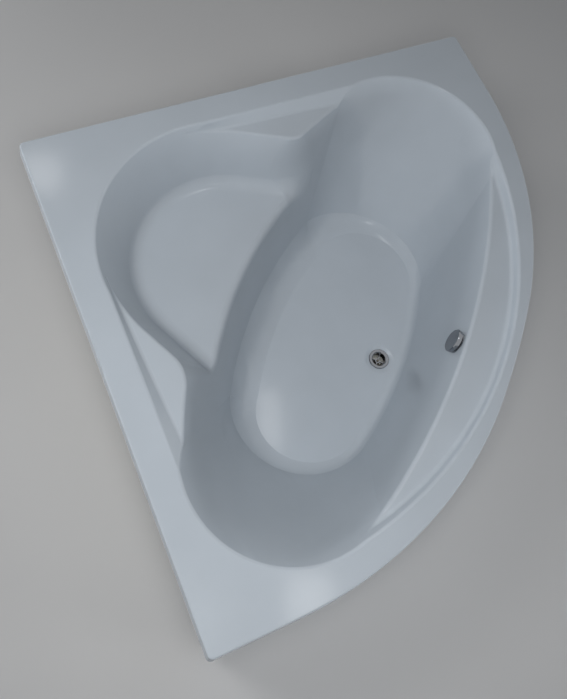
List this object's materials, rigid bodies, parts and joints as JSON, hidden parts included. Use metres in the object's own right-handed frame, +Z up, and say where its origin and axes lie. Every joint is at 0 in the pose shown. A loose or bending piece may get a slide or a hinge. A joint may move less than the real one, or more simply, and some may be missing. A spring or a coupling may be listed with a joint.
{
  "type": "corner bathtub",
  "caption": "Corner bathtub with a seat in the room corner, triangular shelves, oval well, crescent ledge, turn-knob overflow and waste, steel frame, levelling feet and curved panel.",
  "frame": {"origin": "on the floor, under the middle of the square that the two wall sides and the ends of the curved front span", "axes": "+X along the back wall to the right, +Y toward the back wall, +Z up; the room corner is at -X and +Y, the curved front faces +X and -Y"},
  "size_m": [1.5, 1.5, 0.6],
  "materials": {
    "acrylic": "glossy",
    "plywood": "raw",
    "batten_wood": "planed",
    "frame_steel": "zinc paint",
    "zinc_fasteners": "zinc plated",
    "foot_plastic": "moulded",
    "rubber": "matt",
    "chrome": "polished",
    "brass": "turned",
    "white_plastic": "moulded",
    "hose_plastic": "moulded",
    "cable_plastic": "extruded"
  },
  "bodies": {
    "bath": {"back_batten": "batten_wood", "bath_shell": "acrylic", "board_screws": "zinc_fasteners", "body_gasket": "rubber", "corner_post": "frame_steel", "corner_rail": "frame_steel", "flange_gasket": "rubber", "foot_locknuts": "zinc_fasteners", "frame_bolts": "zinc_fasteners", "frame_nuts": "zinc_fasteners", "front_cross_rail": "frame_steel", "front_panel": "acrylic", "hose_nuts": "white_plastic", "left_batten": "batten_wood", "left_front_post": "frame_steel", "left_ledge_block": "plywood", "left_seat_post": "frame_steel", "left_spine_rail": "frame_steel", "left_wing_post": "frame_steel", "main_cross_rail": "frame_steel", "outlet_nut": "white_plastic", "outlet_pipe": "white_plastic", "overflow_body": "white_plastic", "overflow_gasket": "rubber", "overflow_hose": "hose_plastic", "overflow_rosette": "chrome", "panel_brackets": "frame_steel", "panel_screws": "zinc_fasteners", "plate_screws": "zinc_fasteners", "pull_cable": "cable_plastic", "right_front_post": "frame_steel", "right_ledge_block": "plywood", "right_seat_post": "frame_steel", "right_spine_rail": "frame_steel", "right_wing_post": "frame_steel", "seat_board": "plywood", "seat_cross_rail": "frame_steel", "trap_cup": "white_plastic", "trap_dip_tube": "white_plastic", "trap_nut": "white_plastic", "trap_plug": "white_plastic", "wall_brackets": "frame_steel", "waste_body": "white_plastic", "waste_flange": "chrome", "well_baseboard": "plywood"},
    "knob": {"overflow_knob": "chrome", "overflow_spindle": "brass"},
    "lever": {"lifter_lever": "brass"},
    "pin": {"lifter_pin": "brass"},
    "corner_foot": {"corner_foot": "foot_plastic"},
    "left_front_foot": {"left_front_foot": "foot_plastic"},
    "left_wing_foot": {"left_wing_foot": "foot_plastic"},
    "right_front_foot": {"right_front_foot": "foot_plastic"},
    "right_wing_foot": {"right_wing_foot": "foot_plastic"}
  },
  "joints": [
    {"name": "knob_turn", "type": "hinge", "parent": "bath", "child": "knob", "pos_m": [0.24466, -0.24466, 0.525], "axis": [0.6876, -0.6876, -0.2334], "range_deg": [0, 90]},
    {"name": "lever_turn", "type": "hinge", "parent": "bath", "child": "lever", "pos_m": [0.14849, -0.14849, 0.148], "axis": [0.7071, 0.7071, 0], "range_deg": [0, 36.6]},
    {"name": "pin_lift", "type": "slide", "parent": "bath", "child": "pin", "axis": [0, 0, 1], "range_m": [0, 0.0124]},
    {"name": "corner_foot_travel", "type": "slide", "parent": "bath", "child": "corner_foot", "axis": [0, 0, -1], "range_m": [0, 0.03]},
    {"name": "left_front_foot_travel", "type": "slide", "parent": "bath", "child": "left_front_foot", "axis": [0, 0, -1], "range_m": [0, 0.03]},
    {"name": "left_wing_foot_travel", "type": "slide", "parent": "bath", "child": "left_wing_foot", "axis": [0, 0, -1], "range_m": [0, 0.03]},
    {"name": "right_front_foot_travel", "type": "slide", "parent": "bath", "child": "right_front_foot", "axis": [0, 0, -1], "range_m": [0, 0.03]},
    {"name": "right_wing_foot_travel", "type": "slide", "parent": "bath", "child": "right_wing_foot", "axis": [0, 0, -1], "range_m": [0, 0.03]}
  ],
  "couplings": [
    {"joint": "lever_turn", "follows": "knob_turn", "ratio": 0.40625},
    {"joint": "pin_lift", "follows": "knob_turn", "m_per_rad": 0.00783}
  ]
}
